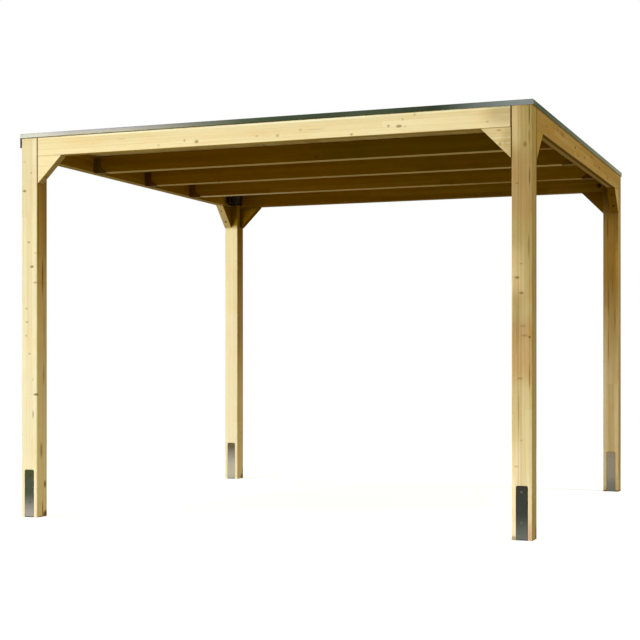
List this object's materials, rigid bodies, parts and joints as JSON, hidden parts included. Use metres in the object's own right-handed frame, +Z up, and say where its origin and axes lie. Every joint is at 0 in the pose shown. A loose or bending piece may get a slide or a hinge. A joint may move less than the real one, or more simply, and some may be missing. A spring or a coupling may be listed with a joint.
{
  "type": "garden pavilion",
  "caption": "Open garden pavilion: glulam posts on steel anchors, flush beams with knee brackets, rafters in hangers and a flat boarded roof.",
  "frame": {"origin": "middle of the plan, on the ground under the post anchors", "axes": "+X to the right along the front, +Y to the back, +Z up"},
  "size_m": [3.281, 3.171, 2.42],
  "materials": {
    "post_timber": "planed spruce glulam, clear glazed",
    "beam_timber": "planed spruce glulam, clear glazed",
    "knee_timber": "planed spruce, clear glazed",
    "rafter_timber": "planed spruce, clear glazed",
    "roof_boards": "tongue and groove spruce boards",
    "anchor_steel": "satin galvanised flat steel",
    "hanger_steel": "black coated folded steel",
    "trim_metal": "folded aluminium, satin",
    "roof_sheet": "smooth roof sheet",
    "outlet_plastic": "black moulded plastic"
  },
  "bodies": {
    "root": {"post_front_left": "post_timber", "post_front_right": "post_timber", "post_back_left": "post_timber", "post_back_right": "post_timber", "anchor_front_left": "anchor_steel", "anchor_front_right": "anchor_steel", "anchor_back_left": "anchor_steel", "anchor_back_right": "anchor_steel", "beam_front": "beam_timber", "beam_back": "beam_timber", "beam_left": "beam_timber", "beam_right": "beam_timber", "knee_front_left": "knee_timber", "knee_front_right": "knee_timber", "knee_back_left": "knee_timber", "knee_back_right": "knee_timber", "knee_left_front": "knee_timber", "knee_left_back": "knee_timber", "knee_right_front": "knee_timber", "knee_right_back": "knee_timber", "rafter_front": "rafter_timber", "rafter_middle": "rafter_timber", "rafter_back": "rafter_timber", "hanger_front_left": "hanger_steel", "hanger_front_right": "hanger_steel", "hanger_middle_left": "hanger_steel", "hanger_middle_right": "hanger_steel", "hanger_back_left": "hanger_steel", "hanger_back_right": "hanger_steel", "roof_boards": "roof_boards", "roof_sheet": "roof_sheet", "rain_outlet": "outlet_plastic", "trim_front": "trim_metal", "trim_back": "trim_metal", "trim_left": "trim_metal", "trim_right": "trim_metal"}
  },
  "joints": []
}
